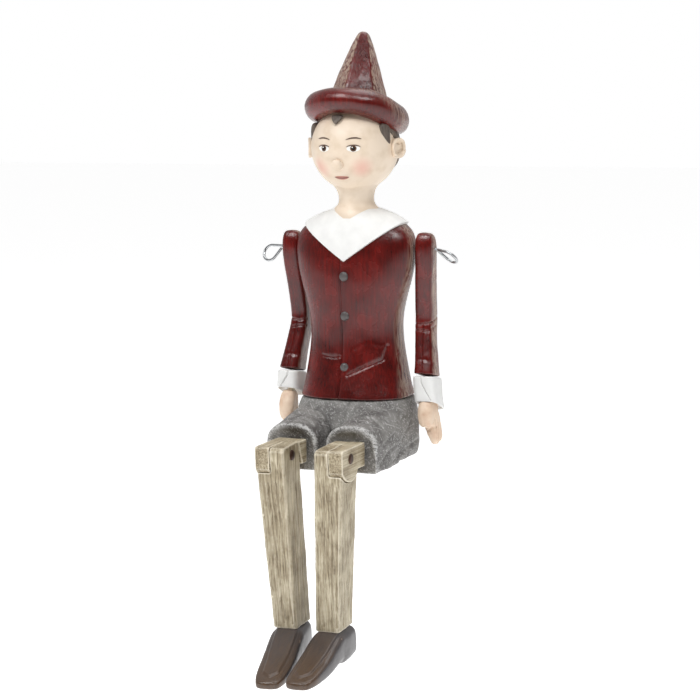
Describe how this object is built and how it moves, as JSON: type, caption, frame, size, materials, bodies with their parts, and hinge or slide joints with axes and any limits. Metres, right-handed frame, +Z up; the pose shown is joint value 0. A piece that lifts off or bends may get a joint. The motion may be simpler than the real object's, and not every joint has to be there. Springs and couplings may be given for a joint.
{
  "type": "marionette puppet",
  "caption": "Sitting jointed wooden puppet in jacket, shorts and pointed hat, with arms and shins that swing and wire eyes at the shoulders.",
  "frame": {"origin": "middle plane of the figure on the flat underside of the shorts, below the shoulders", "axes": "+Z up, -Y the way the figure faces, +X towards its left hand"},
  "size_m": [0.1175, 0.1484, 0.3351],
  "materials": {
    "jacket_red": "gloss",
    "shirt_white": "satin",
    "button_grey": "satin",
    "dowel_wood": "matte",
    "shorts_grey": "matte",
    "leg_wood": "satin",
    "pin_brown": "satin",
    "shoe_brown": "satin",
    "skin_paint": "satin",
    "wire_steel": "satin",
    "hair_paint": "satin"
  },
  "bodies": {
    "figure": {"torso": "jacket_red", "collar": "shirt_white", "jacket_buttons": "button_grey", "waist_dowel": "dowel_wood", "shorts": "shorts_grey", "thigh_left": "leg_wood", "thigh_right": "leg_wood", "knee_pin_left": "pin_brown", "knee_pin_right": "pin_brown", "neck_peg": "skin_paint", "head": "skin_paint", "nose_peg": "skin_paint", "ear_left": "skin_paint", "ear_right": "skin_paint", "hair": "hair_paint", "hat_brim": "jacket_red", "hat_crown": "jacket_red", "hat_dowel": "dowel_wood"},
    "arm_left": {"sleeve_left": "jacket_red", "cuff_left": "shirt_white", "wrist_dowel_left": "dowel_wood", "hand_left": "skin_paint"},
    "arm_right": {"sleeve_right": "jacket_red", "cuff_right": "shirt_white", "wrist_dowel_right": "dowel_wood", "hand_right": "skin_paint"},
    "wire": {"shoulder_wire": "wire_steel"},
    "shin_left": {"lower_leg_left": "leg_wood", "ankle_dowel_left": "dowel_wood", "shoe_left": "shoe_brown"},
    "shin_right": {"lower_leg_right": "leg_wood", "ankle_dowel_right": "dowel_wood", "shoe_right": "shoe_brown"}
  },
  "joints": [
    {"name": "shoulder_left", "type": "hinge", "parent": "figure", "child": "arm_left", "pos_m": [0.0398, 0.003, 0.115], "axis": [1, 0, 0], "continuous": true},
    {"name": "shoulder_right", "type": "hinge", "parent": "figure", "child": "arm_right", "pos_m": [-0.0398, 0.003, 0.115], "axis": [1, 0, 0], "continuous": true},
    {"name": "wire_turn", "type": "hinge", "parent": "figure", "child": "wire", "pos_m": [0, 0.003, 0.115], "axis": [1, 0, 0], "continuous": true},
    {"name": "knee_left", "type": "hinge", "parent": "figure", "child": "shin_left", "pos_m": [0.017, -0.07, 0.0117], "axis": [1, 0, 0], "range_deg": [-80, 15]},
    {"name": "knee_right", "type": "hinge", "parent": "figure", "child": "shin_right", "pos_m": [-0.017, -0.07, 0.0117], "axis": [1, 0, 0], "range_deg": [-80, 15]}
  ]
}
